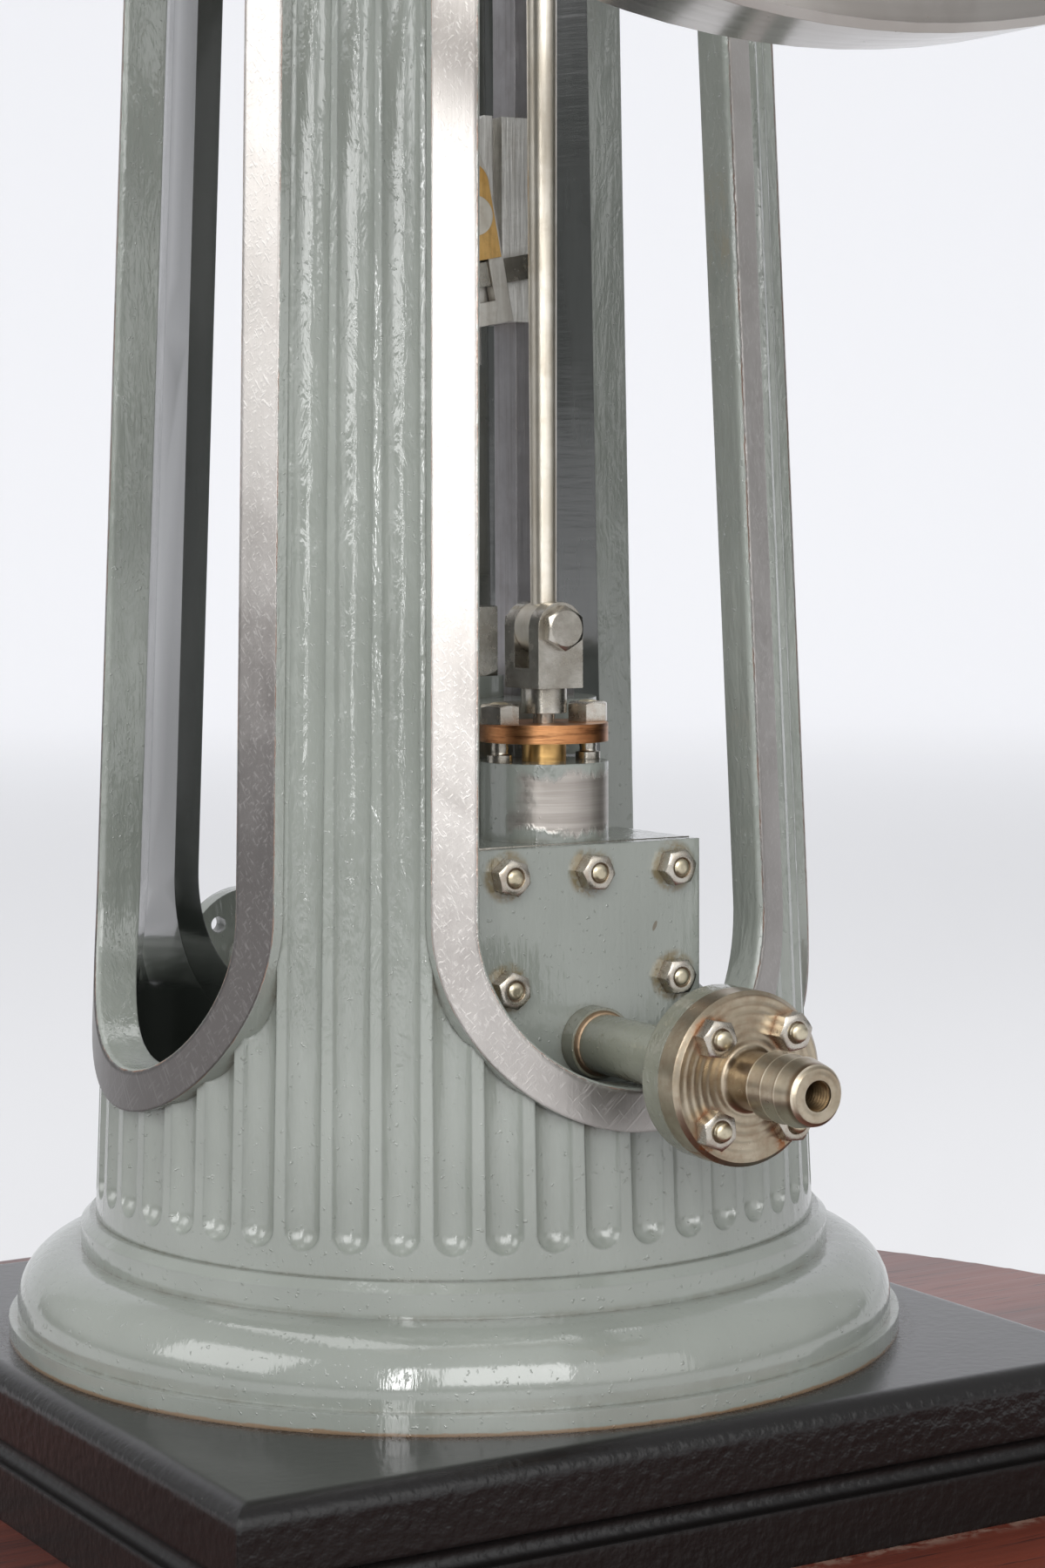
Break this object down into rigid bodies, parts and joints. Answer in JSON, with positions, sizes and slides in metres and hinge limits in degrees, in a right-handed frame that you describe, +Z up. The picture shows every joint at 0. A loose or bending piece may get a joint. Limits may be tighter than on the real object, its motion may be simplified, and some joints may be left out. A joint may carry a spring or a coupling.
{
  "type": "vertical column steam engine model",
  "caption": "Model stationary steam engine in a fluted, slotted column with a vertical cylinder, valve chest, crosshead guides, overhung flywheel, plinth and round board.",
  "frame": {"origin": "middle of the round board's underside, on the axis of the column and cylinder", "axes": "+Z up along the column, -Y towards the front with the valve chest and flywheel, crankshaft along Y"},
  "size_m": [0.308, 0.308, 0.4632],
  "materials": {
    "column_paint": "grey-green gloss enamel, brushed on",
    "frame_steel": "bare, linished steel with scratches",
    "board_mahogany": "varnished mahogany",
    "plinth_black": "black satin lacquer",
    "gland_bronze": "turned bronze, tarnished",
    "nozzle_nickel": "dull nickel plate with rust stains",
    "wheel_steel": "turned bright iron",
    "bright_steel": "milled and drawn steel, oily"
  },
  "bodies": {
    "engine_frame": {"column_foot": "column_paint", "fluted_column": "column_paint", "capital": "column_paint", "top_plate": "column_paint", "front_bearing_pedestal": "column_paint", "rear_bearing_pedestal": "column_paint", "front_bearing_cap": "column_paint", "rear_bearing_cap": "column_paint", "cylinder": "column_paint", "cylinder_cover": "column_paint", "valve_chest": "column_paint", "chest_cover": "column_paint", "steam_inlet": "column_paint", "exhaust_pipe": "column_paint", "front_slot_frame": "frame_steel", "rear_slot_frame": "frame_steel", "left_slot_frame": "frame_steel", "right_slot_frame": "frame_steel", "baseboard": "board_mahogany", "plinth": "plinth_black", "valve_gland": "gland_bronze", "piston_rod_gland": "gland_bronze", "bearing_brasses": "gland_bronze", "big_end_brass": "gland_bronze", "small_end_cheeks": "gland_bronze", "hose_nozzle": "nozzle_nickel", "piston_rod": "bright_steel", "guide_feet": "bright_steel", "guide_bars": "bright_steel", "guide_bridge": "bright_steel", "crosshead": "bright_steel", "crosshead_pin": "bright_steel", "small_end_cotters": "bright_steel", "connecting_rod": "bright_steel", "crank_pin": "bright_steel", "valve_spindle": "bright_steel", "spindle_clevis": "bright_steel", "clevis_bolt": "bright_steel", "eccentric_rod": "bright_steel"},
    "crankshaft": {"crankshaft_front": "bright_steel", "crankshaft_rear": "bright_steel", "front_crank_disc": "bright_steel", "rear_crank_disc": "bright_steel", "flywheel": "wheel_steel", "eccentric_sheave": "bright_steel"},
    "eccentric_strap": {"upper_strap": "bright_steel", "lower_strap": "bright_steel"}
  },
  "joints": [
    {"name": "crankshaft_spin", "type": "hinge", "parent": "engine_frame", "child": "crankshaft", "pos_m": [0, 0, 0.3362], "axis": [0, 1, 0], "continuous": true},
    {"name": "strap_turn", "type": "hinge", "parent": "crankshaft", "child": "eccentric_strap", "pos_m": [0, -0.0251, 0.3322], "axis": [0, 1, 0], "continuous": true}
  ],
  "couplings": [
    {"joint": "strap_turn", "follows": "crankshaft_spin", "ratio": -1}
  ]
}
